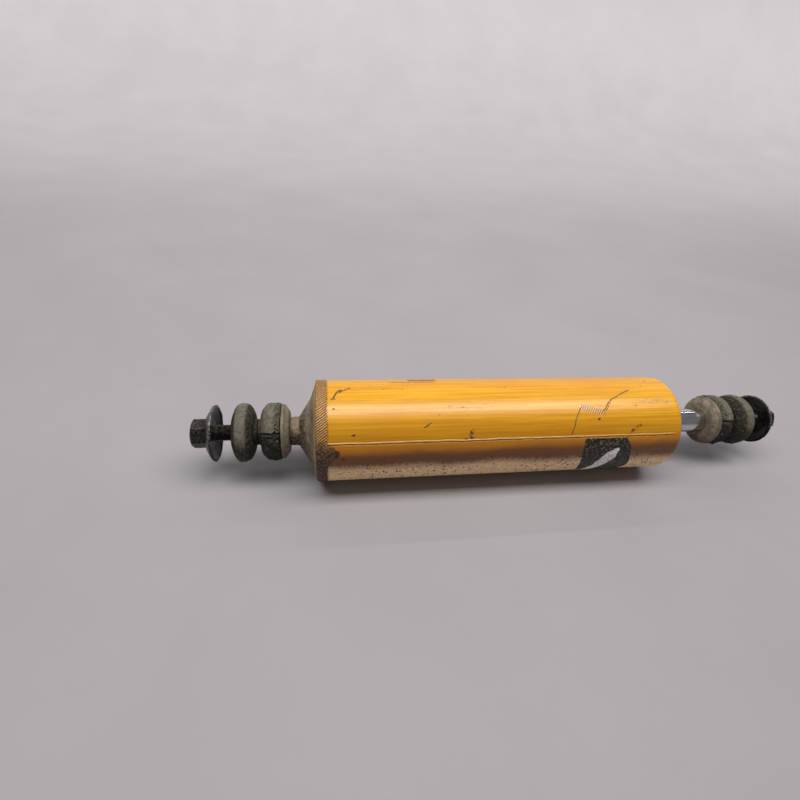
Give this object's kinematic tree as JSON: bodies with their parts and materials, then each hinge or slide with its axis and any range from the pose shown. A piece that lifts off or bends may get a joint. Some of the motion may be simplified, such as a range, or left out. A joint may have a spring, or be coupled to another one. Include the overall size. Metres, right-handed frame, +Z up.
{
  "type": "telescopic hydraulic damper",
  "caption": "Twin-tube telescopic hydraulic damper with a long cylindrical body, a sliding piston rod and a threaded stud with cup washers and rubber bushes at each end.",
  "frame": {"origin": "on the damper's axis, at the middle of the bracket gap between the two base bushes", "axes": "+X along the damper's axis from the base stud to the rod end, +Z up with the damper lying down, the tube's seam on the -Y side"},
  "size_m": [0.4856, 0.0766, 0.0766],
  "materials": {
    "yellow_paint": "worn semi-gloss amber yellow paint",
    "dusty_cap": "dusty grey-brown, overspray at the rim",
    "weld_bead": "rippled weld with overspray and rust",
    "rusted_steel": "lumpy rusty weld",
    "dark_steel": "oxidised and greasy",
    "dusty_steel": "dusty, lightly rusted",
    "mount_rubber": "weathered and dusty",
    "label_film": "torn and scuffed film",
    "bright_steel": "machined",
    "spring_steel": "hardened strip",
    "sintered_iron": "sintered, fine grained",
    "ptfe": "bronze-filled PTFE",
    "seal_rubber": "oiled nitrile rubber",
    "chrome_rod": "hard chrome, ground",
    "bronze": "sintered bronze",
    "retainer_steel": "dark phosphate with dust"
  },
  "bodies": {
    "housing": {"reservoir_tube": "yellow_paint", "base_cap": "dusty_cap", "base_weld": "weld_bead", "base_stud": "dark_steel", "stud_weld": "rusted_steel", "base_inner_cup_washer": "dusty_steel", "base_inner_bush": "mount_rubber", "data_label": "label_film", "pressure_tube": "bright_steel", "base_valve_body": "sintered_iron", "base_valve_shims": "spring_steel", "base_valve_bolt": "bright_steel", "base_valve_nut": "bright_steel", "base_valve_spring": "spring_steel", "rod_guide": "sintered_iron", "guide_bush": "bronze", "guide_o_ring": "seal_rubber", "rod_seal": "seal_rubber", "seal_garter_spring": "spring_steel", "seal_retainer": "retainer_steel", "dust_wiper": "seal_rubber"},
    "intake_plate": {"base_valve_plate": "spring_steel"},
    "loose_base_bush": {"base_outer_bush": "mount_rubber"},
    "base_washer": {"base_outer_cup_washer": "dark_steel"},
    "base_mount_nut": {"base_nut": "dark_steel"},
    "wear_band": {"piston_band": "ptfe"},
    "rod": {"piston_rod": "chrome_rod", "piston": "sintered_iron", "piston_nut": "bright_steel", "rebound_shims": "spring_steel", "piston_stop_washer": "bright_steel", "check_valve_spring": "spring_steel", "rebound_stop": "bright_steel", "rebound_buffer": "seal_rubber", "rod_inner_cup_washer": "dusty_steel", "rod_inner_bush": "mount_rubber"},
    "check_plate": {"check_valve_plate": "spring_steel"},
    "loose_rod_bush": {"rod_outer_bush": "mount_rubber"},
    "rod_washer": {"rod_outer_cup_washer": "dark_steel"},
    "rod_mount_nut": {"rod_nut": "dark_steel"}
  },
  "joints": [
    {"name": "rod_stroke", "type": "slide", "parent": "housing", "child": "wear_band", "axis": [1, 0, 0], "range_m": [-0.03, 0.119]},
    {"name": "rod_turn", "type": "hinge", "parent": "wear_band", "child": "rod", "pos_m": [0, 0, 0], "axis": [1, 0, 0], "continuous": true},
    {"name": "base_bush_slide", "type": "slide", "parent": "housing", "child": "loose_base_bush", "axis": [1, 0, 0], "range_m": [-0.005, 0]},
    {"name": "base_nut_advance", "type": "slide", "parent": "housing", "child": "base_washer", "axis": [1, 0, 0], "range_m": [0, 0.007]},
    {"name": "base_nut_turn", "type": "hinge", "parent": "base_washer", "child": "base_mount_nut", "pos_m": [-0.0407, 0, 0], "axis": [1, 0, 0], "range_deg": [-4, 2020]},
    {"name": "rod_bush_slide", "type": "slide", "parent": "rod", "child": "loose_rod_bush", "axis": [1, 0, 0], "range_m": [0, 0.005]},
    {"name": "rod_nut_advance", "type": "slide", "parent": "rod", "child": "rod_washer", "axis": [-1, 0, 0], "range_m": [0, 0.007]},
    {"name": "rod_nut_turn", "type": "hinge", "parent": "rod_washer", "child": "rod_mount_nut", "pos_m": [0.4323, 0, 0], "axis": [-1, 0, 0], "range_deg": [-4, 2020]},
    {"name": "intake_valve_lift", "type": "slide", "parent": "housing", "child": "intake_plate", "axis": [1, 0, 0], "range_m": [0, 0.0012], "stiffness_N_per_m": 300, "springref_m": -0.002, "deforming": ["base_valve_spring"]},
    {"name": "check_valve_lift", "type": "slide", "parent": "rod", "child": "check_plate", "axis": [1, 0, 0], "range_m": [0, 0.0012], "stiffness_N_per_m": 300, "springref_m": -0.002, "deforming": ["check_valve_spring"]}
  ],
  "couplings": [
    {"joint": "base_nut_turn", "follows": "base_nut_advance", "rad_per_m": 5026.5},
    {"joint": "rod_nut_turn", "follows": "rod_nut_advance", "rad_per_m": 5026.5}
  ]
}
